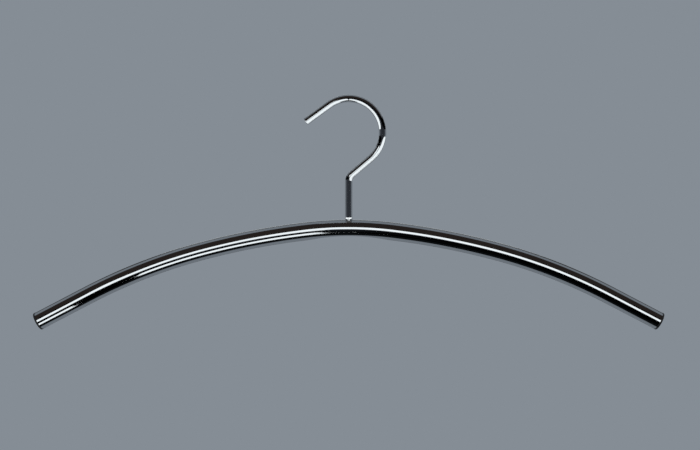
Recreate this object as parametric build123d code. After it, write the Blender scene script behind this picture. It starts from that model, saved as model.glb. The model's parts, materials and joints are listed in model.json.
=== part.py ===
from build123d import *
import os
from math import cos, radians, sin, tan

os.makedirs("parts", exist_ok=True)

# Clothes hanger of bent tube with a swivel wire hook, in millimetres and degrees.
# The hanger hangs upright in the XZ plane: +X along the bar, +Y to its back, +Z up.
# The origin is the hook's seat, where the inside of its crown rests on the rail.

# Bar: a round tube bent in tangent arcs that are the same on both sides of the middle
overall_width = 450.0
tube_diameter = 12.7
tube_wall = 1.0
seat_to_bar_axis = 89.6
centre_bend_radius = 260.0
centre_slope_angle = 6.8
arm_bend_radius = 530.0
arm_slope_angle = 15.0
end_slope_angle = 27.6
end_straight_length = 40.0

# Press mark and rivet recess in the underside of the bar's middle
press_depth = 1.6
press_half_length = 28.0
recess_diameter = 7.2
recess_depth = 1.6

# Hook: one round wire, bent to a crown above its own shank and peened below
wire_diameter = 5.0
loop_radius = 23.9
diagonal_slope_angle = 40.5
shank_bend_radius = 6.0
tip_slope_angle = 36.0
tip_straight_length = 20.0
tip_edge_round = 0.4
journal_diameter = 3.4
shoulder_edge_round = 0.15
rivet_head_diameter = 5.0
rivet_head_rim = 0.35
rivet_head_dome = 0.5

# Bush between the walls of the bar, proud of its top as a crowned collar
bush_diameter = 5.2
bush_stand = 1.85
bush_straight_stand = 0.2
bush_crown_inset = 0.16
bush_edge_round = 0.12

# Washer between the recess and the rivet head
washer_diameter = 6.6
washer_thickness = 0.6

# End cap: a domed flange outside the tube and a ribbed hollow stem inside it
cap_flange_overhang = 0.15
cap_flange_thickness = 1.3
cap_flange_round = 0.4
cap_dome_height = 0.8
cap_stem_gap = 0.4
cap_stem_length = 14.0
cap_stem_wall = 1.4
cap_rib_count = 3
cap_rib_width = 0.9
cap_lead_in = 0.8

# Fits
swivel_clearance = 0.05
thrust_clearance = 0.05
bush_fit = 0.01
rib_clearance = 0.03
washer_hole_clearance = 0.1
cut_overrun = 5.0

BOTTOM_UP = (Align.CENTER, Align.CENTER, Align.MIN)
TOP_DOWN = (Align.CENTER, Align.CENTER, Align.MAX)

tube_radius = tube_diameter / 2
bore_radius = tube_radius - tube_wall
wire_radius = wire_diameter / 2
journal_radius = journal_diameter / 2
cap_flange_radius = tube_radius + cap_flange_overhang
cap_stem_radius = bore_radius - cap_stem_gap


def radial(slope):
    """Unit vector square to the bar, in (X, Z), where its right half falls at this slope."""
    return Vector(sin(radians(slope)), cos(radians(slope)))


def along(slope):
    """Unit vector along the bar, in (X, Z), where its right half falls at this slope."""
    return Vector(cos(radians(slope)), -sin(radians(slope)))


def mirrored(point):
    """The same (X, Z) point on the other side of the middle."""
    return Vector(-point.X, point.Y)


def right_arc(centre, radius, from_angle, to_angle):
    """Arc of the bar's right half between two slopes, drawn from the middle outwards."""
    return CenterArc(centre, radius, 90.0 - from_angle, from_angle - to_angle)


# Middle of the bar and the centres of its arcs, in (X, Z)
bar_middle = Vector(0, -seat_to_bar_axis)
centre_arc_centre = bar_middle - centre_bend_radius * radial(0)
arm_arc_centre = centre_arc_centre + (centre_bend_radius - arm_bend_radius) * radial(centre_slope_angle)
shoulder_start = arm_arc_centre + arm_bend_radius * radial(arm_slope_angle)

# The tube ends where the rounded upper corner of the cap's flange reaches half the overall width
cap_reach = (
    (cap_flange_radius - cap_flange_round) * radial(end_slope_angle).X
    + (cap_flange_thickness - cap_flange_round) * along(end_slope_angle).X
    + cap_flange_round
)
tube_end_x = overall_width / 2 - cap_reach
straight_start_x = tube_end_x - end_straight_length * along(end_slope_angle).X
shoulder_bend_radius = (straight_start_x - shoulder_start.X) / (
    radial(end_slope_angle).X - radial(arm_slope_angle).X
)
shoulder_arc_centre = shoulder_start - shoulder_bend_radius * radial(arm_slope_angle)
straight_start = shoulder_arc_centre + shoulder_bend_radius * radial(end_slope_angle)
tube_end = straight_start + end_straight_length * along(end_slope_angle)

# Heights on the swivel axis
tube_top_z = bar_middle.Y + tube_radius
tube_bottom_z = bar_middle.Y - tube_radius
press_z = tube_bottom_z + press_depth
recess_z = press_z + recess_depth
bush_bottom_z = recess_z + tube_wall
bush_top_z = tube_top_z + bush_stand
shoulder_z = bush_top_z + thrust_clearance
washer_bottom_z = recess_z - washer_thickness
rivet_top_z = washer_bottom_z - thrust_clearance


def bar_path():
    """Centreline of the bar, from its left end to its right end."""
    right_arcs = [
        (centre_arc_centre, centre_bend_radius, 0.0, centre_slope_angle),
        (arm_arc_centre, arm_bend_radius, centre_slope_angle, arm_slope_angle),
        (shoulder_arc_centre, shoulder_bend_radius, arm_slope_angle, end_slope_angle),
    ]
    path = Line(straight_start, tube_end) + Line(mirrored(tube_end), mirrored(straight_start))
    for centre, radius, from_angle, to_angle in right_arcs:
        path += right_arc(centre, radius, from_angle, to_angle)
        path += CenterArc(mirrored(centre), radius, 90.0 + from_angle, to_angle - from_angle)
    return Plane.XZ * path


def swept_rod(path_wire, radius):
    """Round rod of this radius along a wire."""
    section = Plane(path_wire @ 0, z_dir=path_wire % 0) * Circle(radius)
    return sweep(section, path=path_wire)


def rod_on_axis(radius, bottom_z, top_z):
    """Round rod on the swivel axis between two heights."""
    return Pos(0, 0, bottom_z) * Cylinder(radius, top_z - bottom_z, align=BOTTOM_UP)


def dome(foot_radius, height):
    """Cap of a ball, standing on its flat foot at the origin."""
    ball_radius = (foot_radius**2 + height**2) / (2 * height)
    ball = Pos(0, 0, height - ball_radius) * Sphere(ball_radius)
    return ball & Cylinder(foot_radius, height, align=BOTTOM_UP)


def press_tool(offset):
    """Roller across the bar that pressed its underside flat, grown by an offset.

    Its curve leaves the bar's own curve by the press depth over the press's half length.
    """
    bar_curve = 1 / (centre_bend_radius + tube_radius)
    roller_radius = 1 / (bar_curve + 2 * press_depth / press_half_length**2)
    roller = Cylinder(roller_radius + offset, tube_diameter + 2 * cut_overrun)
    return Pos(0, 0, press_z - roller_radius) * Rot(90, 0, 0) * roller


def rivet_recess(offset):
    """Round recess above the press mark, grown by an offset."""
    return rod_on_axis(recess_diameter / 2 + offset, tube_bottom_z - cut_overrun, recess_z + offset)


def make_bar_tube():
    path_wire = Wire(bar_path().edges())
    outside = swept_rod(path_wire, tube_radius) - press_tool(0) - rivet_recess(0)
    inside = swept_rod(path_wire, bore_radius) - press_tool(tube_wall) - rivet_recess(tube_wall)
    bush_hole = rod_on_axis(bush_diameter / 2 + bush_fit, bar_middle.Y, tube_top_z + cut_overrun)
    journal_hole = rod_on_axis(
        journal_radius + washer_hole_clearance, tube_bottom_z - cut_overrun, bar_middle.Y
    )
    return outside - inside - bush_hole - journal_hole


def hook_path():
    """Centreline of the hook's wire, from its shoulder to its tip."""
    loop_centre = Vector(0, wire_radius - loop_radius)
    loop_start_angle = diagonal_slope_angle - 90.0
    loop_end_angle = 90.0 + tip_slope_angle
    loop = CenterArc(loop_centre, loop_radius, loop_start_angle, loop_end_angle - loop_start_angle)
    loop_start = loop @ 0
    tip = loop @ 1 + tip_straight_length * (loop % 1)
    bend_turn = 90.0 - diagonal_slope_angle
    corner_z = loop_start.Y - loop_start.X * tan(radians(diagonal_slope_angle))
    bend_start = Vector(0, corner_z - shank_bend_radius * tan(radians(bend_turn / 2)))
    bend_centre = bend_start + Vector(shank_bend_radius, 0)
    bend = CenterArc(bend_centre, shank_bend_radius, 180.0, -bend_turn)
    shank = Line((0, shoulder_z), bend_start)
    return Plane.XZ * (shank + bend + Line(bend @ 1, loop_start) + loop + Line(loop @ 1, tip))


def make_hook():
    path_wire = Wire(hook_path().edges())
    wire = swept_rod(path_wire, wire_radius)
    tip_face = wire.faces().sort_by_distance(path_wire @ 1)[0]
    wire = fillet(tip_face.edges(), tip_edge_round)
    shoulder_face = wire.faces().sort_by(Axis.Z)[0]
    wire = fillet(shoulder_face.edges(), shoulder_edge_round)
    journal = rod_on_axis(journal_radius, rivet_top_z, shoulder_z)
    rivet_rim = rod_on_axis(rivet_head_diameter / 2, rivet_top_z - rivet_head_rim, rivet_top_z)
    rivet_dome = dome(rivet_head_diameter / 2, rivet_head_dome)
    rivet_dome = Pos(0, 0, rivet_top_z - rivet_head_rim) * Rot(180, 0, 0) * rivet_dome
    return wire + journal + rivet_rim + rivet_dome


def make_swivel_bush():
    """Sleeve from the recess up to a collar whose side leans in towards its top."""
    bore = journal_radius + swivel_clearance
    outer = bush_diameter / 2
    crown_start_z = tube_top_z + bush_straight_stand
    crown_middle_z = (crown_start_z + bush_top_z) / 2
    crown = ThreePointArc(
        (outer, crown_start_z),
        (outer - bush_crown_inset / 4, crown_middle_z),
        (outer - bush_crown_inset, bush_top_z),
    )
    straight_sides = Polyline(
        (outer - bush_crown_inset, bush_top_z),
        (bore, bush_top_z),
        (bore, bush_bottom_z),
        (outer, bush_bottom_z),
        (outer, crown_start_z),
    )
    bush = revolve(Plane.XZ * make_face(crown + straight_sides), Axis.Z)
    top_circles = bush.edges().filter_by(GeomType.CIRCLE).group_by(Axis.Z)[-1]
    return fillet(top_circles.sort_by(SortBy.RADIUS)[-1], bush_edge_round)


def make_rivet_washer():
    blank = rod_on_axis(washer_diameter / 2, washer_bottom_z, recess_z)
    return blank - rod_on_axis(
        journal_radius + washer_hole_clearance, washer_bottom_z - cut_overrun, recess_z + cut_overrun
    )


def make_end_cap():
    """Cap at its own origin: the tube's end face at zero height, outwards along +Z."""
    flange = Cylinder(cap_flange_radius, cap_flange_thickness, align=BOTTOM_UP)
    flange = fillet(flange.edges().group_by(Axis.Z)[-1], cap_flange_round)
    outer_dome = dome(cap_flange_radius - cap_flange_round, cap_dome_height)
    stem = Cylinder(cap_stem_radius, cap_stem_length, align=TOP_DOWN)
    stem = chamfer(stem.edges().group_by(Axis.Z)[0], cap_lead_in)
    rib_pitch = (cap_stem_length - cap_lead_in) / (cap_rib_count + 1)
    for rib_number in range(cap_rib_count):
        rib_z = -rib_pitch * (rib_number + 1)
        stem += Pos(0, 0, rib_z) * Cylinder(bore_radius - rib_clearance, cap_rib_width)
    stem -= Cylinder(cap_stem_radius - cap_stem_wall, cap_stem_length, align=TOP_DOWN)
    return flange + Pos(0, 0, cap_flange_thickness) * outer_dome + stem


cap_outwards = along(end_slope_angle)
cap_seat = Plane((tube_end.X, 0, tube_end.Y), z_dir=(cap_outwards.X, 0, cap_outwards.Y))
right_cap = cap_seat * make_end_cap()

nodes = {
    "bar_tube": make_bar_tube(),
    "hook": make_hook(),
    "swivel_bush": make_swivel_bush(),
    "rivet_washer": make_rivet_washer(),
    "end_cap_right": right_cap,
    "end_cap_left": mirror(right_cap, about=Plane.YZ),
}

for node_name, solid in nodes.items():
    export_step(solid, f"parts/{node_name}.step")
    print(node_name, "volume", round(solid.volume, 2))
print("shoulder bend radius", round(shoulder_bend_radius, 2))
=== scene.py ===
# %% [markdown]
# # A chromed tube hanger with a swivel hook
# This lesson dresses a hanger that is already made as solids: one bent tube, one bent wire, the bush
# and washer that hold the two together, and a black plug in each end of the tube. The solids are the
# fixed frame. Each piece that is modelled here takes the place of one solid, at the same place and size.

# %% Load the frame and keep its box
import json
import math
import bpy
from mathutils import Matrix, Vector

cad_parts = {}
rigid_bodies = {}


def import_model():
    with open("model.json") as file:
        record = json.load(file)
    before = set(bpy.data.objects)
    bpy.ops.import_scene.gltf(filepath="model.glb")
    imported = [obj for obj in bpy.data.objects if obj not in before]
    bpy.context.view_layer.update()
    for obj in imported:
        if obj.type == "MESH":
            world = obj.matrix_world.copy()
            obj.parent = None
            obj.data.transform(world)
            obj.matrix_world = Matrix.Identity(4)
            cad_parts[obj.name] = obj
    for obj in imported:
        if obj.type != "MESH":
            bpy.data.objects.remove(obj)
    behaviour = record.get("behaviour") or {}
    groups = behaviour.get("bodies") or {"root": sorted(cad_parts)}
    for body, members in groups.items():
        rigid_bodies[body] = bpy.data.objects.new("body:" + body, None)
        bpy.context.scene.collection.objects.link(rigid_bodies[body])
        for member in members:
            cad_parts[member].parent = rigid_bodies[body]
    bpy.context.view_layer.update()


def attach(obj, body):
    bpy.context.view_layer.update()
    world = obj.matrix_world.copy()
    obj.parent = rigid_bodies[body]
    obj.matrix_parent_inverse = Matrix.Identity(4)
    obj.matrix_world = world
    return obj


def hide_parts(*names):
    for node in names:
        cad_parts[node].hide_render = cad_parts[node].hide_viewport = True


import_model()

# %% [markdown]
# ## Camera
# The photograph was taken from about a metre away, from just above the level of the bar. The small tilt
# matters: chrome shows what lies around it, and the tilt decides which lamp the upright wire shows.
# The aim and the scale come from the hook's seat, the middle of the bar and both its ends.

# %% Camera
MM = 0.001
CAMERA_TILT = math.radians(6.0)
CAMERA_DISTANCE = 1.05
AIM = Vector((0.926 * MM, 0.0, -86.876 * MM))
TO_CAMERA = Vector((0.0, -math.cos(CAMERA_TILT), math.sin(CAMERA_TILT)))
SENSOR_WIDTH = 36.0
PHOTO_PIXELS = 700
PIXEL_WIDTH = 0.70904
FRAME_WIDTH = PHOTO_PIXELS * PIXEL_WIDTH * MM

camera_data = bpy.data.cameras.new("camera")
camera_data.sensor_width = SENSOR_WIDTH
camera_data.lens = SENSOR_WIDTH * CAMERA_DISTANCE / FRAME_WIDTH
camera = bpy.data.objects.new("camera", camera_data)
bpy.context.scene.collection.objects.link(camera)
camera.location = AIM + CAMERA_DISTANCE * TO_CAMERA
camera.rotation_mode = "QUATERNION"
camera.rotation_quaternion = (-TO_CAMERA).to_track_quat("-Z", "Y")
camera_data.clip_start = 0.01
bpy.context.scene.camera = camera
print("lens", round(camera_data.lens, 2))

# %% [markdown]
# ## Lengths
# The pieces follow the same lines as the solids, so their lengths are named once, in millimetres.
# The bar is made of tangent arcs that leave its middle level and end in a short straight run.

# %% Lengths of the bar
TUBE_RADIUS = 6.35
TUBE_WALL = 1.0
AXIS_Z = -89.6
CENTRE_RADIUS = 260.0
CENTRE_SLOPE = 6.8
ARM_RADIUS = 530.0
ARM_SLOPE = 15.0
SHOULDER_RADIUS = 392.82
END_SLOPE = 27.6
END_STRAIGHT = 40.0
PRESS_DEPTH = 1.6
PRESS_HALF_LENGTH = 28.0
RECESS_RADIUS = 3.6
RECESS_DEPTH = 1.6
EDGE_BREAK = 0.08
print("tube", 2 * TUBE_RADIUS, "mm, its ends slope", END_SLOPE, "degrees")

# %% Lengths of the hook, bush and washer
WIRE_RADIUS = 2.5
LOOP_RADIUS = 23.9
DIAGONAL_SLOPE = 40.5
BEND_RADIUS = 6.0
TIP_SLOPE = 36.0
TIP_STRAIGHT = 20.0
JOURNAL_RADIUS = 1.7
HOLE_RADIUS = JOURNAL_RADIUS + 0.1
HEAD_RADIUS = 2.5
BUSH_RADIUS = 2.6
BUSH_STAND = 1.85
WASHER_RADIUS = 3.3
WASHER_THICKNESS = 0.6
END_PLAY = 0.05
TUBE_TOP_Z = AXIS_Z + TUBE_RADIUS
PRESS_Z = AXIS_Z - TUBE_RADIUS + PRESS_DEPTH
RECESS_Z = PRESS_Z + RECESS_DEPTH
BUSH_TOP_Z = TUBE_TOP_Z + BUSH_STAND
SHOULDER_Z = BUSH_TOP_Z + END_PLAY
print("shoulder of the wire at", round(SHOULDER_Z, 3), "mm")

# %% [markdown]
# ## Working by hand, in code
# An operator acts on what is selected, so each piece starts from an empty selection. A new primitive
# gets its place in its mesh at once, and then it is shaped in edit mode. Small helpers cover the hand
# moves: start a piece, pick it or points of it, sweep its open ring round an arc, draw the ring along a
# line, step the ring to a new radius as on a lathe, and close it.

# %% Helpers to start and end a piece
def start_piece():
    """Leaves edit mode and deselects all."""
    if bpy.context.object and bpy.context.object.mode != "OBJECT":
        bpy.ops.object.mode_set(mode="OBJECT")
    bpy.ops.object.select_all(action="DESELECT")


def pick_piece(piece):
    """Makes one piece the only selected one, and the active one."""
    start_piece()
    piece.select_set(True)
    bpy.context.view_layer.objects.active = piece


def ring_piece(name, radius, place, turned, sides):
    """An open ring of this radius in millimetres, in edit mode, all selected."""
    start_piece()
    bpy.ops.mesh.primitive_circle_add(
        vertices=sides, radius=radius * MM, location=Vector(place) * MM, rotation=turned
    )
    piece = bpy.context.object
    piece.name = name
    piece.data.name = name
    bpy.ops.object.transform_apply(location=True, rotation=True, scale=True)
    bpy.ops.object.mode_set(mode="EDIT")
    bpy.ops.mesh.select_all(action="SELECT")
    return piece


def select_points(piece, wanted):
    """Selects the points of the active piece that a test of (x, y, z) in millimetres picks, in edit mode.
    Returns how many they are."""
    bpy.ops.object.mode_set(mode="EDIT")
    bpy.ops.mesh.select_mode(type="VERT")
    bpy.ops.mesh.select_all(action="DESELECT")
    bpy.ops.object.mode_set(mode="OBJECT")
    count = 0
    for vertex in piece.data.vertices:
        vertex.select = wanted(*(vertex.co / MM))
        count += vertex.select
    bpy.ops.object.mode_set(mode="EDIT")
    return count


def close_piece(piece, smooth_angle):
    """Merges doubles, turns the faces outwards and smooths all edges below an angle in degrees."""
    bpy.ops.object.mode_set(mode="EDIT")
    bpy.ops.mesh.select_all(action="SELECT")
    bpy.ops.mesh.remove_doubles(threshold=0.0005 * MM)
    bpy.ops.mesh.normals_make_consistent(inside=False)
    bpy.ops.object.mode_set(mode="OBJECT")
    bpy.ops.object.shade_smooth_by_angle(angle=math.radians(smooth_angle))
    triangles = sum(len(face.vertices) - 2 for face in piece.data.polygons)
    print(piece.name, "triangles", triangles)


def add_modifier(piece, kind, **settings):
    """Adds a modifier, sets it and applies it."""
    pick_piece(piece)
    modifier = piece.modifiers.new(kind.lower(), kind)
    for key, value in settings.items():
        setattr(modifier, key, value)
    bpy.ops.object.modifier_apply(modifier=modifier.name)


# %% Helpers to move the open ring of a piece
def sweep_ring(centre, degrees, steps):
    """Spins the selected ring about a centre (x, z). Positive is clockwise as the camera sees it."""
    bpy.ops.mesh.spin(
        steps=steps,
        angle=-math.radians(degrees),
        center=(centre[0] * MM, 0.0, centre[1] * MM),
        axis=(0.0, 1.0, 0.0),
    )


def draw_ring(direction, length, steps):
    """Extrudes the selected ring in a straight line, in equal steps."""
    step = Vector(direction).normalized() * (length * MM / steps)
    for _ in range(steps):
        bpy.ops.mesh.extrude_region_move(TRANSFORM_OT_translate={"value": step})


def step_ring(old, new):
    """Extrudes the selected ring on the Z axis from an old (radius, z) to a new one."""
    bpy.ops.mesh.extrude_region_move(TRANSFORM_OT_translate={"value": (0.0, 0.0, (new[1] - old[1]) * MM)})
    grow = new[0] / old[0]
    if abs(grow - 1.0) > 1e-6:
        bpy.ops.transform.resize(value=(grow, grow, 1.0), center_override=(0.0, 0.0, new[1] * MM))


def lathe(profile):
    """Steps the selected ring along a profile of (radius, z), from its first point to its last."""
    for old, new in zip(profile, profile[1:]):
        step_ring(old, new)


def close_ring():
    """Closes the selected ring with a fan of triangles."""
    bpy.ops.mesh.edge_face_add()
    bpy.ops.mesh.poke()


def rounded(start_angle, end_angle, centre, radius, steps):
    """Points (radius, z) of a small rounding in a profile."""
    turn = math.radians(end_angle - start_angle) / steps
    first = math.radians(start_angle)
    return [
        (centre[0] + radius * math.cos(first + turn * n), centre[1] + radius * math.sin(first + turn * n))
        for n in range(steps + 1)
    ]


# %% [markdown]
# ## Bar
# The real bar is one steel tube, bent cold and then chromed. Pipe bending keeps the section round, so a
# ring that is spun round the centre of each bend gives its very shape, with even rows of faces that a
# mirror finish needs. One half is made and mirrored.

# %% Right half of the bar
def radial(slope):
    """Unit vector square to the bar, in (x, z), where its right half falls at this slope."""
    return Vector((math.sin(math.radians(slope)), math.cos(math.radians(slope))))


BAR_SIDES = 128
bar_tube = ring_piece("dressed_bar", TUBE_RADIUS, (0, 0, AXIS_Z), (0, math.pi / 2, 0), BAR_SIDES)
centre_arc = Vector((0.0, AXIS_Z)) - CENTRE_RADIUS * radial(0)
arm_arc = centre_arc + (CENTRE_RADIUS - ARM_RADIUS) * radial(CENTRE_SLOPE)
shoulder_arc = arm_arc + (ARM_RADIUS - SHOULDER_RADIUS) * radial(ARM_SLOPE)
end_direction = (math.cos(math.radians(END_SLOPE)), 0.0, -math.sin(math.radians(END_SLOPE)))
sweep_ring(centre_arc, CENTRE_SLOPE, 40)
sweep_ring(arm_arc, ARM_SLOPE - CENTRE_SLOPE, 32)
sweep_ring(shoulder_arc, END_SLOPE - ARM_SLOPE, 36)
draw_ring(end_direction, END_STRAIGHT, 4)
bpy.ops.object.mode_set(mode="OBJECT")
tube_end = shoulder_arc + SHOULDER_RADIUS * radial(END_SLOPE)
tube_end = Vector((tube_end.x, 0.0, tube_end.y)) + END_STRAIGHT * Vector(end_direction)
print("end of the tube", [round(v, 2) for v in tube_end])

# %% [markdown]
# The underside of the middle is pressed in before the hook is riveted, by a roller across the bar. A
# Shrinkwrap modifier does just that: it lifts what lies inside the roller up to the roller's skin. A little
# smoothing rounds the edges of the mark, because plated steel has no sharp ones.

# %% Mirror the bar and press its underside
ROLLER_LENGTH = 30.0
add_modifier(bar_tube, "MIRROR", use_axis=(True, False, False), merge_threshold=0.001 * MM)
bar_curve = 1.0 / (CENTRE_RADIUS + TUBE_RADIUS)
roller_radius = 1.0 / (bar_curve + 2.0 * PRESS_DEPTH / PRESS_HALF_LENGTH**2)
start_piece()
bpy.ops.mesh.primitive_cylinder_add(
    vertices=1440,
    radius=roller_radius * MM,
    depth=ROLLER_LENGTH * MM,
    location=(0.0, 0.0, (PRESS_Z - roller_radius) * MM),
    rotation=(math.pi / 2, 0.0, 0.0),
)
roller = bpy.context.object
add_modifier(
    bar_tube,
    "SHRINKWRAP",
    wrap_method="PROJECT",
    use_project_z=True,
    use_positive_direction=True,
    use_negative_direction=False,
    cull_face="OFF",
    target=roller,
)
bpy.data.objects.remove(roller)
print("radius of the roller", round(roller_radius, 1))

# %% Round the edges of the press mark
LEAST_PRESS = 0.005


def is_pressed(x, y, z):
    """True where the roller has pushed the tube's skin in."""
    from_axis = math.hypot(math.hypot(x, z - centre_arc.y) - CENTRE_RADIUS, y)
    return abs(x) < PRESS_HALF_LENGTH and z < AXIS_Z and from_axis < TUBE_RADIUS - LEAST_PRESS


print("points of the press mark", select_points(bar_tube, is_pressed))
bpy.ops.mesh.select_more()
for _ in range(2):
    bpy.ops.mesh.vertices_smooth(factor=0.5, repeat=2, xaxis=False, yaxis=True, zaxis=True)
    bpy.ops.mesh.select_more()
bpy.ops.object.mode_set(mode="OBJECT")

# %% [markdown]
# A round recess in the mark takes the washer and the hook's peened head. A patch of faces is taken out, a
# round ring is laid in its place and bridged to the edge of the gap, and the ring is drawn up and in.

# %% Recess in the press mark
RECESS_GAP = 0.45
RECESS_SURROUND = 3.0
select_points(bar_tube, lambda x, y, z: math.hypot(x, y) < RECESS_RADIUS + RECESS_GAP and z < AXIS_Z)
bpy.ops.mesh.delete(type="VERT")
bpy.ops.mesh.primitive_circle_add(vertices=96, radius=RECESS_RADIUS * MM, location=(0.0, 0.0, PRESS_Z * MM))
bpy.ops.mesh.select_all(action="DESELECT")
bpy.ops.mesh.select_mode(type="EDGE")
bpy.ops.object.mode_set(mode="OBJECT")
faces_of_edge = {}
for face in bar_tube.data.polygons:
    for key in face.edge_keys:
        faces_of_edge[key] = faces_of_edge.get(key, 0) + 1
for edge in bar_tube.data.edges:
    start, end = (bar_tube.data.vertices[index].co for index in edge.vertices)
    middle = (start + end) / 2 / MM
    near = math.hypot(middle.x, middle.y) < RECESS_RADIUS + RECESS_SURROUND and middle.z < AXIS_Z
    edge.select = near and faces_of_edge.get(edge.key, 0) < 2
for face in bar_tube.data.polygons:
    face.select = False
bpy.ops.object.mode_set(mode="EDIT")
bpy.ops.mesh.bridge_edge_loops()
select_points(bar_tube, lambda x, y, z: abs(math.hypot(x, y) - RECESS_RADIUS) < 0.001 and z < AXIS_Z)
recess_outline = [(RECESS_RADIUS, PRESS_Z), (RECESS_RADIUS - EDGE_BREAK, PRESS_Z + EDGE_BREAK)]
recess_outline += [(RECESS_RADIUS - EDGE_BREAK, RECESS_Z), (HOLE_RADIUS, RECESS_Z)]
lathe(recess_outline)
bpy.ops.object.mode_set(mode="OBJECT")
print("points with the recess", len(bar_tube.data.vertices))

# %% [markdown]
# The sheet then gets its thickness, and a plain round tool cuts the hole for the bush through its top.

# %% Give the tube its wall and drill it for the bush
DRILL_PLAY = 0.01
DRILL_ABOVE = 2.0
drill_length = TUBE_TOP_Z + DRILL_ABOVE - AXIS_Z
bpy.ops.object.mode_set(mode="EDIT")
bpy.ops.mesh.select_all(action="SELECT")
bpy.ops.mesh.normals_make_consistent(inside=False)
bpy.ops.object.mode_set(mode="OBJECT")
add_modifier(bar_tube, "SOLIDIFY", thickness=TUBE_WALL * MM, offset=-1.0)
start_piece()
bpy.ops.mesh.primitive_cylinder_add(
    vertices=96,
    radius=(BUSH_RADIUS + DRILL_PLAY) * MM,
    depth=drill_length * MM,
    location=(0.0, 0.0, (AXIS_Z + drill_length / 2) * MM),
)
drill = bpy.context.object
add_modifier(bar_tube, "BOOLEAN", operation="DIFFERENCE", solver="EXACT", object=drill)
bpy.data.objects.remove(drill)
close_piece(bar_tube, 32)

# %% [markdown]
# ## Hook
# The hook is one steel wire. It stands on a turned journal, bends out to the right, goes round the crown
# and ends in a short straight tip that is cut off square. It is swept like the bar. A short ring beside
# each rounded edge keeps the shading of the long faces straight up to it. The foot is stepped like work on
# a lathe, down to the head that was peened over the washer.

# %% Sweep the wire from its shoulder to its tip
WIRE_SIDES = 64
SHOULDER_ROUND = 0.15
TIP_ROUND = 0.4
SHORT_RING = 0.1
wire_foot_z = SHOULDER_Z + SHOULDER_ROUND
hook = ring_piece("dressed_hook", WIRE_RADIUS, (0, 0, wire_foot_z), (0, 0, 0), WIRE_SIDES)
loop_centre = Vector((0.0, WIRE_RADIUS - LOOP_RADIUS))
start_angle = math.radians(DIAGONAL_SLOPE - 90.0)
loop_start = loop_centre + LOOP_RADIUS * Vector((math.cos(start_angle), math.sin(start_angle)))
corner_z = loop_start.y - loop_start.x * math.tan(math.radians(DIAGONAL_SLOPE))
bend_turn = 90.0 - DIAGONAL_SLOPE
bend_reach = BEND_RADIUS * math.tan(math.radians(bend_turn / 2))
diagonal = (math.cos(math.radians(DIAGONAL_SLOPE)), 0.0, math.sin(math.radians(DIAGONAL_SLOPE)))
diagonal_length = math.hypot(loop_start.x, loop_start.y - corner_z) - bend_reach
draw_ring((0, 0, 1), SHORT_RING, 1)
draw_ring((0, 0, 1), corner_z - bend_reach - wire_foot_z - SHORT_RING, 6)
sweep_ring((BEND_RADIUS, corner_z - bend_reach), bend_turn, 24)
draw_ring(diagonal, diagonal_length, 4)
sweep_ring(loop_centre, -(bend_turn + 90.0 + TIP_SLOPE), 120)
tip_direction = (-math.cos(math.radians(TIP_SLOPE)), 0.0, -math.sin(math.radians(TIP_SLOPE)))
draw_ring(tip_direction, TIP_STRAIGHT - TIP_ROUND - SHORT_RING, 4)
draw_ring(tip_direction, SHORT_RING, 1)
print("length of the diagonal", round(diagonal_length, 2))

# %% Round the rim of the tip and close it
tip_way = Vector(tip_direction)
loop_end_angle = math.radians(90.0 + TIP_SLOPE)
loop_end = loop_centre + LOOP_RADIUS * Vector((math.cos(loop_end_angle), math.sin(loop_end_angle)))
tip_point = Vector((loop_end.x, 0.0, loop_end.y)) + (TIP_STRAIGHT - TIP_ROUND) * tip_way
reach = 0.0
ring_radius = WIRE_RADIUS
for turn in (22.5, 45.0, 67.5, 90.0):
    new_reach = TIP_ROUND * math.sin(math.radians(turn))
    new_radius = WIRE_RADIUS - TIP_ROUND * (1.0 - math.cos(math.radians(turn)))
    draw_ring(tip_way, new_reach - reach, 1)
    grow = new_radius / ring_radius
    tip_now = tip_point + new_reach * tip_way
    bpy.ops.transform.resize(value=(grow, grow, grow), center_override=tip_now * MM)
    reach = new_reach
    ring_radius = new_radius
bpy.ops.mesh.extrude_region_move()
bpy.ops.transform.resize(value=(0.5, 0.5, 0.5), center_override=tip_now * MM)
close_ring()
bpy.ops.object.mode_set(mode="OBJECT")
print("tip at", [round(v, 2) for v in tip_now])

# %% Step the foot of the wire down to its peened head
HEAD_TOP_Z = RECESS_Z - WASHER_THICKNESS - END_PLAY
HEAD_RIM = 0.35
HEAD_DOME = 0.5
select_points(hook, lambda x, y, z: z < wire_foot_z + SHORT_RING / 2)
ball_radius = (HEAD_RADIUS**2 + HEAD_DOME**2) / (2 * HEAD_DOME)
ball_z = HEAD_TOP_Z - HEAD_RIM - HEAD_DOME + ball_radius
head_points = []
for share in (0.85, 0.65, 0.45, 0.25, 0.1):
    head_radius = HEAD_RADIUS * share
    head_points.append((head_radius, ball_z - math.sqrt(ball_radius**2 - head_radius**2)))
foot = rounded(0, -90, (WIRE_RADIUS - SHOULDER_ROUND, wire_foot_z), SHOULDER_ROUND, 3)
foot += [(JOURNAL_RADIUS, SHOULDER_Z), (JOURNAL_RADIUS, HEAD_TOP_Z)]
foot += [(HEAD_RADIUS - EDGE_BREAK, HEAD_TOP_Z), (HEAD_RADIUS, HEAD_TOP_Z - EDGE_BREAK)]
foot += [(HEAD_RADIUS, HEAD_TOP_Z - HEAD_RIM)]
lathe(foot + head_points)
close_ring()
close_piece(hook, 35)

# %% [markdown]
# ## Bush and washer
# Both are turned parts. The bush is pressed into the tube and stands a little proud, as the bright collar
# at the foot of the wire. The washer lies in the recess between the tube and the peened head. A ring that
# is stepped along the outline and brought back to its start makes a closed turned part.

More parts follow.
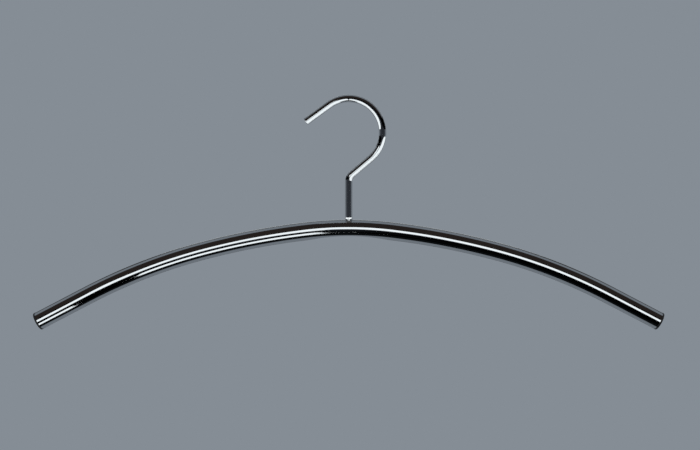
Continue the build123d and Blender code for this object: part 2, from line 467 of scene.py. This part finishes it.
# %% Turn the bush
BORE_RADIUS = JOURNAL_RADIUS + 0.05
BUSH_BOTTOM_Z = RECESS_Z + TUBE_WALL
CROWN_START_Z = TUBE_TOP_Z + 0.2
CROWN_INSET = 0.18
COLLAR_ROUND = 0.12
crown_rim = BUSH_RADIUS - CROWN_INSET
bush = ring_piece("dressed_bush", BUSH_RADIUS, (0, 0, BUSH_BOTTOM_Z), (0, 0, 0), 96)
bush_outline = [(BUSH_RADIUS, BUSH_BOTTOM_Z), (BUSH_RADIUS, CROWN_START_Z - 0.1)]
for share in (0.0, 0.2, 0.4, 0.6, 0.8, 0.93):
    height = CROWN_START_Z + share * (BUSH_TOP_Z - CROWN_START_Z)
    bush_outline.append((BUSH_RADIUS - CROWN_INSET * share**2, height))
bush_outline += rounded(0, 90, (crown_rim - COLLAR_ROUND, BUSH_TOP_Z - COLLAR_ROUND), COLLAR_ROUND, 4)
bush_outline += [(BORE_RADIUS, BUSH_TOP_Z), (BORE_RADIUS, BUSH_BOTTOM_Z), (BUSH_RADIUS, BUSH_BOTTOM_Z)]
lathe(bush_outline)
close_piece(bush, 35)

# %% Turn the washer
WASHER_ROUND = 0.12
washer = ring_piece("dressed_washer", WASHER_RADIUS, (0, 0, RECESS_Z), (0, 0, 0), 96)
washer_low = RECESS_Z - WASHER_THICKNESS
washer_outline = [(WASHER_RADIUS, RECESS_Z), (WASHER_RADIUS, washer_low + WASHER_ROUND)]
washer_outline += [(WASHER_RADIUS - WASHER_ROUND / 3, washer_low + WASHER_ROUND / 3)]
washer_outline += [(WASHER_RADIUS - WASHER_ROUND, washer_low), (HOLE_RADIUS, washer_low)]
washer_outline += [(HOLE_RADIUS, RECESS_Z), (WASHER_RADIUS, RECESS_Z)]
lathe(washer_outline)
close_piece(washer, 35)

# %% [markdown]
# ## End plugs
# Each end of the tube is closed by a moulded plug: a hollow stem with three ribs that grip inside the
# tube, and a low domed head outside. One plug is stepped upright at the origin, tipped to the slope of the
# bar's end, moved there, and its copy is mirrored for the other end.

# %% Lengths of a plug
PLUG_HEAD_RADIUS = TUBE_RADIUS + 0.15
PLUG_HEAD_HEIGHT = 1.3
PLUG_ROUND = 0.4
PLUG_DOME = 0.8
STEM_RADIUS = TUBE_RADIUS - TUBE_WALL - 0.4
STEM_LENGTH = 14.0
STEM_WALL = 1.4
LEAD_IN = 0.8
RIB_COUNT = 3
RIB_HALF_WIDTH = 0.45
RIB_RADIUS = TUBE_RADIUS - TUBE_WALL - 0.03
RIB_CORNER = 0.1
BORE_TOP_Z = -0.2
BORE_CORNER = 0.3
HEAD_CORNER = 0.06
POLE_RADIUS = 0.3
stem_bore = STEM_RADIUS - STEM_WALL
rib_pitch = (STEM_LENGTH - LEAD_IN) / (RIB_COUNT + 1)
print("ribs every", round(rib_pitch, 2), "mm")

# %% Outline of a plug, from inside its stem to the top of its dome
plug_outline = [(POLE_RADIUS, BORE_TOP_Z), (stem_bore - BORE_CORNER, BORE_TOP_Z)]
plug_outline += [(stem_bore, BORE_TOP_Z - BORE_CORNER), (stem_bore, -STEM_LENGTH)]
plug_outline += [(STEM_RADIUS - LEAD_IN, -STEM_LENGTH), (STEM_RADIUS, -STEM_LENGTH + LEAD_IN)]
for rib_number in range(RIB_COUNT, 0, -1):
    rib_low = -rib_pitch * rib_number - RIB_HALF_WIDTH
    rib_high = -rib_pitch * rib_number + RIB_HALF_WIDTH
    plug_outline += [(STEM_RADIUS, rib_low), (RIB_RADIUS - RIB_CORNER, rib_low)]
    plug_outline += [(RIB_RADIUS, rib_low + RIB_CORNER), (RIB_RADIUS, rib_high - RIB_CORNER)]
    plug_outline += [(RIB_RADIUS - RIB_CORNER, rib_high), (STEM_RADIUS, rib_high)]
plug_outline += [(STEM_RADIUS, 0.0), (PLUG_HEAD_RADIUS - HEAD_CORNER, 0.0), (PLUG_HEAD_RADIUS, HEAD_CORNER)]
dome_foot = PLUG_HEAD_RADIUS - PLUG_ROUND
plug_outline += rounded(0, 90, (dome_foot, PLUG_HEAD_HEIGHT - PLUG_ROUND), PLUG_ROUND, 8)
dome_ball = (dome_foot**2 + PLUG_DOME**2) / (2 * PLUG_DOME)
for share in (0.93, 0.85, 0.75, 0.63, 0.5, 0.37, 0.24, 0.12, 0.05):
    dome_radius = dome_foot * share
    dome_z = PLUG_HEAD_HEIGHT + PLUG_DOME - dome_ball + math.sqrt(dome_ball**2 - dome_radius**2)
    plug_outline.append((dome_radius, dome_z))
print("points along the plug's outline", len(plug_outline))

# %% Step one plug, close it inside and outside, and place it
plug_right = ring_piece("dressed_plug_right", POLE_RADIUS, (0, 0, BORE_TOP_Z), (0, 0, 0), 96)
lathe(plug_outline)
close_ring()
select_points(plug_right, lambda x, y, z: math.hypot(x, y) < POLE_RADIUS + 0.01 and z < 0.0)
close_ring()
bpy.ops.object.mode_set(mode="OBJECT")
plug_right.rotation_euler = (0.0, math.radians(90.0 + END_SLOPE), 0.0)
plug_right.location = tube_end * MM
bpy.ops.object.transform_apply(location=True, rotation=True, scale=True)

# %% Mirror a copy of the plug for the other end
pick_piece(plug_right)
bpy.ops.object.duplicate()
plug_left = bpy.context.object
plug_left.name = "dressed_plug_left"
plug_left.data.name = "dressed_plug_left"
plug_left.scale = (-1.0, 1.0, 1.0)
bpy.ops.object.transform_apply(location=True, rotation=True, scale=True)
close_piece(plug_left, 35)
pick_piece(plug_right)
close_piece(plug_right, 35)

# %% [markdown]
# ## Finishes
# Bright chrome is a mirror that gives back a little more than half of the light. It isn't perfect: buffing
# leaves hairlines, the steel under it is a little wavy, and handling leaves faint smudges. Each of these
# is a pattern over the surface, made once as a group and placed in every metal with its own values.

# %% Pattern of buffing hairlines and smudges
def add_socket(group, name, way, kind, value=None):
    """Adds a named socket to a node group."""
    socket = group.interface.new_socket(name, in_out=way, socket_type=kind)
    if value is not None:
        socket.default_value = value
    return socket


def make_handling_group():
    """Hairlines and smudges over Object coordinates: a roughness, a height and a tint mask."""
    group = bpy.data.node_groups.new("handling_marks", "ShaderNodeTree")
    add_socket(group, "Smooth", "INPUT", "NodeSocketFloat", 0.03)
    add_socket(group, "Smudged", "INPUT", "NodeSocketFloat", 0.1)
    add_socket(group, "Hairline Scale", "INPUT", "NodeSocketFloat", 900.0)
    add_socket(group, "Roughness", "OUTPUT", "NodeSocketFloat")
    add_socket(group, "Height", "OUTPUT", "NodeSocketFloat")
    add_socket(group, "Mask", "OUTPUT", "NodeSocketFloat")
    nodes = group.nodes
    links = group.links
    inputs = nodes.new("NodeGroupInput")
    outputs = nodes.new("NodeGroupOutput")
    place = nodes.new("ShaderNodeTexCoord")

    smudge = nodes.new("ShaderNodeTexNoise")
    smudge.inputs["Scale"].default_value = 60.0
    smudge.inputs["Detail"].default_value = 5.0
    smudge.inputs["Roughness"].default_value = 0.6
    links.new(place.outputs["Object"], smudge.inputs["Vector"])
    smudge_mask = nodes.new("ShaderNodeMapRange")
    smudge_mask.inputs["From Min"].default_value = 0.52
    smudge_mask.inputs["From Max"].default_value = 0.8
    links.new(smudge.outputs["Fac"], smudge_mask.inputs["Value"])

    turn = nodes.new("ShaderNodeMapping")
    turn.inputs["Rotation"].default_value = (0.3, 0.2, 0.5)
    turn.inputs["Scale"].default_value = (0.05, 1.0, 1.0)
    links.new(place.outputs["Object"], turn.inputs["Vector"])
    hairline = nodes.new("ShaderNodeTexNoise")
    hairline.inputs["Detail"].default_value = 3.0
    links.new(turn.outputs["Vector"], hairline.inputs["Vector"])
    links.new(inputs.outputs["Hairline Scale"], hairline.inputs["Scale"])
    hairline_mask = nodes.new("ShaderNodeMapRange")
    hairline_mask.inputs["From Min"].default_value = 0.6
    hairline_mask.inputs["From Max"].default_value = 0.75
    links.new(hairline.outputs["Fac"], hairline_mask.inputs["Value"])

    both = nodes.new("ShaderNodeMath")
    both.operation = "MAXIMUM"
    half = nodes.new("ShaderNodeMath")
    half.operation = "MULTIPLY"
    half.inputs[1].default_value = 0.5
    links.new(hairline_mask.outputs["Result"], half.inputs[0])
    links.new(smudge_mask.outputs["Result"], both.inputs[0])
    links.new(half.outputs["Value"], both.inputs[1])

    mix = nodes.new("ShaderNodeMapRange")
    links.new(both.outputs["Value"], mix.inputs["Value"])
    links.new(inputs.outputs["Smooth"], mix.inputs["To Min"])
    links.new(inputs.outputs["Smudged"], mix.inputs["To Max"])
    links.new(mix.outputs["Result"], outputs.inputs["Roughness"])

    wave = nodes.new("ShaderNodeTexNoise")
    wave.inputs["Scale"].default_value = 110.0
    wave.inputs["Detail"].default_value = 2.0
    links.new(place.outputs["Object"], wave.inputs["Vector"])
    links.new(wave.outputs["Fac"], outputs.inputs["Height"])
    links.new(both.outputs["Value"], outputs.inputs["Mask"])
    return group


handling_group = make_handling_group()
print("sockets", [item.name for item in handling_group.interface.items_tree])

# %% Chrome of the tube, the wire and the bush, and zinc of the washer
def make_chrome(name, color, tint, smooth, smudged, wave_height):
    """A bright plated metal. Wave height in metres is how far its skin rises and falls."""
    material = bpy.data.materials.new(name)
    material.use_nodes = True
    nodes = material.node_tree.nodes
    links = material.node_tree.links
    shader = nodes["Principled BSDF"]
    shader.inputs["Metallic"].default_value = 1.0
    marks = nodes.new("ShaderNodeGroup")
    marks.node_tree = handling_group
    marks.inputs["Smooth"].default_value = smooth
    marks.inputs["Smudged"].default_value = smudged
    links.new(marks.outputs["Roughness"], shader.inputs["Roughness"])
    paint = nodes.new("ShaderNodeMix")
    paint.data_type = "RGBA"
    paint.inputs["A"].default_value = (*color, 1.0)
    paint.inputs["B"].default_value = (*tint, 1.0)
    links.new(marks.outputs["Mask"], paint.inputs["Factor"])
    links.new(paint.outputs["Result"], shader.inputs["Base Color"])
    bump = nodes.new("ShaderNodeBump")
    bump.inputs["Strength"].default_value = 1.0
    bump.inputs["Distance"].default_value = wave_height
    links.new(marks.outputs["Height"], bump.inputs["Height"])
    links.new(bump.outputs["Normal"], shader.inputs["Normal"])
    return material


CHROME = (0.6, 0.612, 0.622)
CHROME_SMUDGED = (0.56, 0.565, 0.562)
BUSH_CHROME = (0.72, 0.73, 0.73)
ZINC = (0.58, 0.58, 0.55)
ZINC_SMUDGED = (0.42, 0.42, 0.4)
tube_chrome = make_chrome("tube_chrome", CHROME, CHROME_SMUDGED, 0.03, 0.08, 0.000004)
wire_chrome = make_chrome("wire_chrome", CHROME, CHROME_SMUDGED, 0.035, 0.09, 0.000003)
bush_chrome = make_chrome("bush_chrome", BUSH_CHROME, CHROME_SMUDGED, 0.1, 0.16, 0.000002)
washer_zinc = make_chrome("washer_zinc", ZINC, ZINC_SMUDGED, 0.28, 0.45, 0.000006)
print("metals", tube_chrome.name, wire_chrome.name, bush_chrome.name, washer_zinc.name)

# %% [markdown]
# The plugs are black polyethylene. It comes from the mould with a fine spark-eroded grain and a waxy
# half-gloss, so a small grain goes into the bump and the roughness, and the colour is never quite black.

# %% Black plastic
DEEP_BLACK = (0.010, 0.010, 0.011)
SCUFFED_BLACK = (0.022, 0.022, 0.024)


def make_black_plastic():
    """Moulded black polyethylene with a fine grain."""
    material = bpy.data.materials.new("moulded_black")
    material.use_nodes = True
    nodes = material.node_tree.nodes
    links = material.node_tree.links
    shader = nodes["Principled BSDF"]
    shader.inputs["IOR"].default_value = 1.5
    place = nodes.new("ShaderNodeTexCoord")
    grain = nodes.new("ShaderNodeTexNoise")
    grain.inputs["Scale"].default_value = 2600.0
    grain.inputs["Detail"].default_value = 2.0
    links.new(place.outputs["Object"], grain.inputs["Vector"])
    scuff = nodes.new("ShaderNodeTexNoise")
    scuff.inputs["Scale"].default_value = 240.0
    scuff.inputs["Detail"].default_value = 4.0
    links.new(place.outputs["Object"], scuff.inputs["Vector"])
    paint = nodes.new("ShaderNodeMix")
    paint.data_type = "RGBA"
    paint.inputs["A"].default_value = (*DEEP_BLACK, 1.0)
    paint.inputs["B"].default_value = (*SCUFFED_BLACK, 1.0)
    links.new(scuff.outputs["Fac"], paint.inputs["Factor"])
    links.new(paint.outputs["Result"], shader.inputs["Base Color"])
    gloss = nodes.new("ShaderNodeMapRange")
    gloss.inputs["To Min"].default_value = 0.36
    gloss.inputs["To Max"].default_value = 0.55
    links.new(scuff.outputs["Fac"], gloss.inputs["Value"])
    links.new(gloss.outputs["Result"], shader.inputs["Roughness"])
    bump = nodes.new("ShaderNodeBump")
    bump.inputs["Strength"].default_value = 0.6
    bump.inputs["Distance"].default_value = 0.00002
    links.new(grain.outputs["Fac"], bump.inputs["Height"])
    links.new(bump.outputs["Normal"], shader.inputs["Normal"])
    return material


moulded_black = make_black_plastic()
print("plastic", moulded_black.name)

# %% [markdown]
# ## Finish each piece and join it to the frame
# Each piece stands for one solid and rides on that solid's body.

# %% Materials and bodies
dressing = [
    (bar_tube, "bar_tube", "bar", "chromed_tube", tube_chrome),
    (hook, "hook", "hook", "chromed_wire", wire_chrome),
    (bush, "swivel_bush", "bar", "chromed_bush", bush_chrome),
    (washer, "rivet_washer", "bar", "plated_washer", washer_zinc),
    (plug_left, "end_cap_left", "bar", "black_plastic", moulded_black),
    (plug_right, "end_cap_right", "bar", "black_plastic", moulded_black),
]
start_piece()
for piece, node, body, slot_name, material in dressing:
    piece.data.materials.clear()
    piece.data.materials.append(material)
    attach(piece, body)
    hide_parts(node)
    print(piece.name, "stands for", node)

# %% [markdown]
# ## Studio
# Chrome has no colour of its own: it shows the studio. The photograph shows a dark room in front of the
# hanger, soft white lamps in it, and a plain grey wall behind. The wall is the world's own colour. The dark
# room is a half ball that only reflections see. Each lamp is a curved panel of glowing cloth.
#
# A wide lamp just above the height of the camera gives the long streak on the bar. It falls away on both
# sides, because the bar's ends slope and so look past its middle. Two small lamps stand near, low on the
# left: only the left arm shows them, as its second streak, and the space between them is the gap in it.
# The hook shows two large low lamps and a wedge of the wide one, and stays dark where it looks level, as
# on its upright part. In the photograph the bar doesn't show those two, and the hook doesn't show the rest
# of the wide lamp, so light linking picks which lamp lights which piece. One lamp lights the collar alone.
# Behind the hanger stand a soft lamp and a dim cloth, which show in the rims of the chrome.

# %% World
WALL_GREY = (0.235, 0.266, 0.301)
ROOM_LIGHT = 0.85
world = bpy.data.worlds.new("studio")
bpy.context.scene.world = world
world.use_nodes = True
world_nodes = world.node_tree.nodes
world_links = world.node_tree.links
world_nodes.clear()
wall = world_nodes.new("ShaderNodeBackground")
wall.inputs["Color"].default_value = (*WALL_GREY, 1.0)
room = world_nodes.new("ShaderNodeBackground")
room.inputs["Color"].default_value = (ROOM_LIGHT, ROOM_LIGHT, ROOM_LIGHT, 1.0)
rays = world_nodes.new("ShaderNodeLightPath")
seen = world_nodes.new("ShaderNodeMath")
seen.operation = "MAXIMUM"
world_links.new(rays.outputs["Is Camera Ray"], seen.inputs[0])
world_links.new(rays.outputs["Is Glossy Ray"], seen.inputs[1])
seen_or_through = world_nodes.new("ShaderNodeMath")
seen_or_through.operation = "MAXIMUM"
world_links.new(seen.outputs["Value"], seen_or_through.inputs[0])
world_links.new(rays.outputs["Is Transmission Ray"], seen_or_through.inputs[1])
choose = world_nodes.new("ShaderNodeMixShader")
world_links.new(seen_or_through.outputs["Value"], choose.inputs["Fac"])
world_links.new(room.outputs["Background"], choose.inputs[1])
world_links.new(wall.outputs["Background"], choose.inputs[2])
world_out = world_nodes.new("ShaderNodeOutputWorld")
world_links.new(choose.outputs["Shader"], world_out.inputs["Surface"])
print("wall grey", WALL_GREY)

# %% Floor
FLOOR_Z = -0.36
FLOOR_RADIUS = 0.42
PALE_FLOOR = (0.42, 0.44, 0.46)
start_piece()
bpy.ops.mesh.primitive_circle_add(
    vertices=128, radius=FLOOR_RADIUS, fill_type="TRIFAN", location=(0.0, 0.0, FLOOR_Z)
)
floor = bpy.context.object
floor.name = "floor"
bpy.ops.object.transform_apply(location=True, rotation=True, scale=True)
floor_paint = bpy.data.materials.new("pale_floor")
floor_paint.use_nodes = True
floor_nodes = floor_paint.node_tree.nodes
floor_links = floor_paint.node_tree.links
floor_shader = floor_nodes["Principled BSDF"]
floor_shader.inputs["Base Color"].default_value = (*PALE_FLOOR, 1.0)
floor_shader.inputs["Roughness"].default_value = 0.9
floor_place = floor_nodes.new("ShaderNodeTexCoord")
flat = floor_nodes.new("ShaderNodeVectorMath")
flat.operation = "MULTIPLY"
flat.inputs[1].default_value = (1.0, 1.0, 0.0)
floor_links.new(floor_place.outputs["Object"], flat.inputs[0])
away = floor_nodes.new("ShaderNodeVectorMath")
away.operation = "LENGTH"
floor_links.new(flat.outputs["Vector"], away.inputs[0])
fade = floor_nodes.new("ShaderNodeMapRange")
fade.interpolation_type = "SMOOTHSTEP"
fade.inputs["From Min"].default_value = FLOOR_RADIUS * 0.7
fade.inputs["From Max"].default_value = FLOOR_RADIUS
fade.inputs["To Min"].default_value = 1.0
fade.inputs["To Max"].default_value = 0.0
floor_links.new(away.outputs["Value"], fade.inputs["Value"])
floor_links.new(fade.outputs["Result"], floor_shader.inputs["Alpha"])
floor.data.materials.append(floor_paint)
floor.visible_glossy = False
print("floor at", FLOOR_Z)

# %% Half ball of the dark room
ROOM_RADIUS = 4.0
start_piece()
bpy.ops.mesh.primitive_uv_sphere_add(segments=96, ring_count=48, radius=ROOM_RADIUS, location=(0.0, 0.0, 0.0))
dark_room = bpy.context.object
dark_room.name = "dark_room"
bpy.ops.object.mode_set(mode="EDIT")
bpy.ops.mesh.select_all(action="SELECT")
bpy.ops.mesh.bisect(
    plane_co=(0.0, 0.0, 0.0), plane_no=tuple(-TO_CAMERA), clear_outer=True, clear_inner=False
)
bpy.ops.mesh.select_all(action="SELECT")
bpy.ops.mesh.flip_normals()
bpy.ops.object.mode_set(mode="OBJECT")
dark_room.location = (0.0, 0.0, AXIS_Z * MM)
bpy.ops.object.transform_apply(location=True, rotation=True, scale=True)
print("dark room", len(dark_room.data.polygons), "faces")

# %% Dark cloth of the room, which only reflections see
DARK_BROWN = (0.029, 0.023, 0.021)
DIM_BLUE = (0.050, 0.056, 0.068)
NEAR_BLACK = (0.005, 0.006, 0.007)


def make_dark_cloth():
    """Dark cloth that glows a very little: near black below, dim blue level with the hanger, brown above."""
    material = bpy.data.materials.new("dark_cloth")
    material.use_nodes = True
    nodes = material.node_tree.nodes
    links = material.node_tree.links
    nodes.clear()
    place = nodes.new("ShaderNodeTexCoord")
    split = nodes.new("ShaderNodeSeparateXYZ")
    links.new(place.outputs["Object"], split.inputs["Vector"])
    share = nodes.new("ShaderNodeMapRange")
    share.inputs["From Min"].default_value = -ROOM_RADIUS
    share.inputs["From Max"].default_value = ROOM_RADIUS
    links.new(split.outputs["Z"], share.inputs["Value"])
    ramp = nodes.new("ShaderNodeValToRGB")
    stops = ramp.color_ramp.elements
    stops[0].position = 0.40
    stops[0].color = (*NEAR_BLACK, 1.0)
    stops[1].position = 0.56
    stops[1].color = (*DARK_BROWN, 1.0)
    level = stops.new(0.44)
    level.color = (*DIM_BLUE, 1.0)
    level = stops.new(0.50)
    level.color = (*DIM_BLUE, 1.0)
    links.new(share.outputs["Result"], ramp.inputs["Fac"])
    glow = nodes.new("ShaderNodeEmission")
    links.new(ramp.outputs["Color"], glow.inputs["Color"])
    out = nodes.new("ShaderNodeOutputMaterial")
    links.new(glow.outputs["Emission"], out.inputs["Surface"])
    return material


def only_reflected(thing):
    """Leaves a stage piece to reflections alone."""
    thing.visible_camera = False
    thing.visible_diffuse = False
    thing.visible_shadow = False
    thing.visible_transmission = False
    thing.visible_volume_scatter = False


dark_room.data.materials.append(make_dark_cloth())
only_reflected(dark_room)
print("cloth", dark_room.data.materials[0].name)

# %% Helpers for soft lamps
STUDIO_CENTRE = Vector((0.0, 0.0, -0.05))
GAP_START = 1.2


def make_glow(name, color, strength):
    """A plain glowing cloth."""
    material = bpy.data.materials.new(name)
    material.use_nodes = True
    nodes = material.node_tree.nodes
    nodes.clear()
    glow = nodes.new("ShaderNodeEmission")
    glow.inputs["Color"].default_value = (*color, 1.0)
    glow.inputs["Strength"].default_value = strength
    out = nodes.new("ShaderNodeOutputMaterial")
    material.node_tree.links.new(glow.outputs["Emission"], out.inputs["Surface"])
    return material


def soft_panel(name, material, distance, low_edge, high_edge, gap=0.0):
    """A curved panel round the hanger, between two edges of (azimuth, elevation) points in degrees.

    Azimuth 0 is in front of the hanger and 90 on its right. A gap keeps the panel out of the space straight
    below the hanger, from where the tangent of the elevation passes GAP_START. The larger it is, the wider
    is that space.
    """
    steps = 8
    rows = 24
    low_fine = []
    high_fine = []
    for fine, edge in ((low_fine, low_edge), (high_fine, high_edge)):
        for start, end in zip(edge, edge[1:]):
            fine += [Vector(start).lerp(Vector(end), step / steps) for step in range(steps)]
        fine.append(Vector(edge[-1]))
    start_piece()
    bpy.ops.mesh.primitive_grid_add(x_subdivisions=len(low_fine) - 1, y_subdivisions=rows, size=2.0)
    panel = bpy.context.object
    panel.name = name
    for vertex in panel.data.vertices:
        column = round((vertex.co.x + 1.0) / 2 * (len(low_fine) - 1))
        azimuth, elevation = low_fine[column].lerp(high_fine[column], (vertex.co.y + 1.0) / 2)
        elevation = math.radians(elevation)
        clear = math.degrees(math.asin(min(1.0, gap * max(0.0, abs(math.tan(elevation)) - GAP_START))))
        azimuth = math.radians(math.copysign(max(abs(azimuth), clear), azimuth))
        direction = Vector((
            math.sin(azimuth) * math.cos(elevation),
            -math.cos(azimuth) * math.cos(elevation),
            math.sin(elevation),
        ))
        vertex.co = STUDIO_CENTRE + distance * direction
    panel.data.materials.append(material)
    panel.visible_camera = False
    panel.visible_shadow = False
    print(name, len(panel.data.polygons), "faces")
    return panel


def light_only(panel, receivers):
    """Lets a lamp light some pieces only."""
    group = bpy.data.collections.new(panel.name + "_lights")
    for piece in receivers:
        group.objects.link(piece)
    panel.light_linking.receiver_collection = group


# %% Glowing cloths, and the pieces that a lamp may be for
LAMP_WHITE = (0.93, 0.98, 1.0)
FRONT_STRENGTH = 1.55
BACK_STRENGTH = 0.9
DIM_STRENGTH = 0.05
front_glow = make_glow("front_lamp_cloth", LAMP_WHITE, FRONT_STRENGTH)
back_glow = make_glow("back_lamp_cloth", LAMP_WHITE, BACK_STRENGTH)
dim_glow = make_glow("dim_cloth", (1.0, 1.0, 1.0), DIM_STRENGTH)
ALL_BUT_HOOK = [bar_tube, plug_left, plug_right, bush]
ALL_BUT_BUSH = [bar_tube, plug_left, plug_right, hook]
HOOK_PIECES = [hook, bush]
print("cloths", front_glow.name, back_glow.name, dim_glow.name)

# %% Wide lamp above the height of the camera
MAIN_DISTANCE = 2.6
MAIN_LOW = [(-6.0, 2.5), (-2.0, 3.0), (1.0, 1.0), (6.0, 0.5)]
MAIN_HIGH = [(-11.0, 24.0), (-3.5, 26.0), (3.5, 26.0), (11.0, 24.0)]
LEFT_WING_LOW = [(-19.0, -10.5), (-17.0, -9.0), (-14.5, -6.5), (-13.5, -4.0), (-10.5, 0.0), (-6.0, 2.5)]
RIGHT_WING_LOW = [(6.0, 0.5), (10.0, -1.5), (12.5, -4.5), (14.5, -7.0), (17.5, -9.0), (19.0, -10.5)]
RIGHT_WING_HIGH = [(11.0, 24.0), (18.0, 21.0), (23.0, 16.5), (26.0, 13.0), (29.0, 10.0), (31.5, 8.0)]
LEFT_WING_HIGH = [(-azimuth, elevation) for azimuth, elevation in reversed(RIGHT_WING_HIGH)]
main_lamp = soft_panel("main_lamp", front_glow, MAIN_DISTANCE, MAIN_LOW, MAIN_HIGH)
right_wing = soft_panel("main_lamp_right_wing", front_glow, MAIN_DISTANCE, RIGHT_WING_LOW, RIGHT_WING_HIGH)
left_wing = soft_panel("main_lamp_left_wing", front_glow, MAIN_DISTANCE, LEFT_WING_LOW, LEFT_WING_HIGH)
light_only(main_lamp, ALL_BUT_HOOK)
light_only(right_wing, ALL_BUT_HOOK)
light_only(left_wing, ALL_BUT_HOOK)

# %% Wedge of the wide lamp that the hook shows, and the collar's lamp
WEDGE_DISTANCE = 2.5
COLLAR_DISTANCE = 3.8
WEDGE_LOW = [(-28.0, 10.0), (-20.0, 7.0), (-8.0, 2.0), (-4.0, 0.0), (-1.5, -1.5)]
WEDGE_HIGH = [(-28.0, 17.0), (-22.0, 16.0), (-9.0, 10.5), (-4.0, 10.5), (-2.0, 2.0)]
wedge_lamp = soft_panel("wedge_lamp", front_glow, WEDGE_DISTANCE, WEDGE_LOW, WEDGE_HIGH)
light_only(wedge_lamp, ALL_BUT_BUSH)
COLLAR_LOW = [(-125.0, 3.0), (125.0, 3.0)]
COLLAR_HIGH = [(-125.0, 21.0), (125.0, 21.0)]
collar_lamp = soft_panel("collar_lamp", front_glow, COLLAR_DISTANCE, COLLAR_LOW, COLLAR_HIGH)
light_only(collar_lamp, [bush])

# %% Small near lamps low on the left, and low lamps of the hook
NEAR_DISTANCE = 0.6
LOW_DISTANCE = 3.0
LOW_GAP = 0.5
SECOND_LOW = [(-0.5, -49.0), (-4.5, -49.5), (-11.0, -50.5), (-14.5, -52.0)]
SECOND_HIGH = [(-2.0, -27.0), (-7.0, -28.0), (-13.5, -30.0), (-17.5, -32.0)]
THIRD_LOW = [(-20.0, -54.0), (-22.0, -54.0), (-28.5, -53.5), (-32.0, -53.5)]
THIRD_HIGH = [(-24.0, -35.0), (-25.0, -35.5), (-29.0, -36.0), (-32.5, -36.0)]
soft_panel("second_lamp", front_glow, NEAR_DISTANCE, SECOND_LOW, SECOND_HIGH)
soft_panel("third_lamp", front_glow, NEAR_DISTANCE, THIRD_LOW, THIRD_HIGH)
RIGHT_LOW = [(0.5, -70.0), (60.0, -74.0), (125.0, -74.0)]
RIGHT_HIGH = [(0.5, -8.0), (60.0, -8.0), (125.0, -8.0)]
LEFT_LOW = [(-125.0, -74.0), (-60.0, -74.0), (-26.0, -72.0), (-22.0, -71.0), (-4.0, -70.0), (-0.5, -70.0)]
LEFT_HIGH = [(-125.0, -8.0), (-60.0, -8.0), (-26.0, -14.0), (-22.0, -26.0), (-4.0, -17.0), (-0.5, -12.0)]
right_low_lamp = soft_panel("right_low_lamp", front_glow, LOW_DISTANCE, RIGHT_LOW, RIGHT_HIGH, LOW_GAP)
left_low_lamp = soft_panel("left_low_lamp", front_glow, LOW_DISTANCE, LEFT_LOW, LEFT_HIGH, LOW_GAP)
light_only(right_low_lamp, HOOK_PIECES)
light_only(left_low_lamp, HOOK_PIECES)

# %% Lamp and cloth behind the hanger
BACK_DISTANCE = 2.5
CLOTH_DISTANCE = 2.8
BACK_LOW = [(165.0, 0.0), (195.0, 0.0)]
BACK_HIGH = [(165.0, 14.0), (195.0, 14.0)]
soft_panel("back_lamp", back_glow, BACK_DISTANCE, BACK_LOW, BACK_HIGH)
CLOTH_LOW = [(142.0, -32.0), (218.0, -32.0)]
CLOTH_HIGH = [(142.0, 36.0), (218.0, 36.0)]
only_reflected(soft_panel("back_cloth", dim_glow, CLOTH_DISTANCE, CLOTH_LOW, CLOTH_HIGH))

# %% [markdown]
# ## The end
# The scene is shown with the Standard view transform.

# %% The view transform
bpy.context.scene.view_settings.view_transform = "Standard"
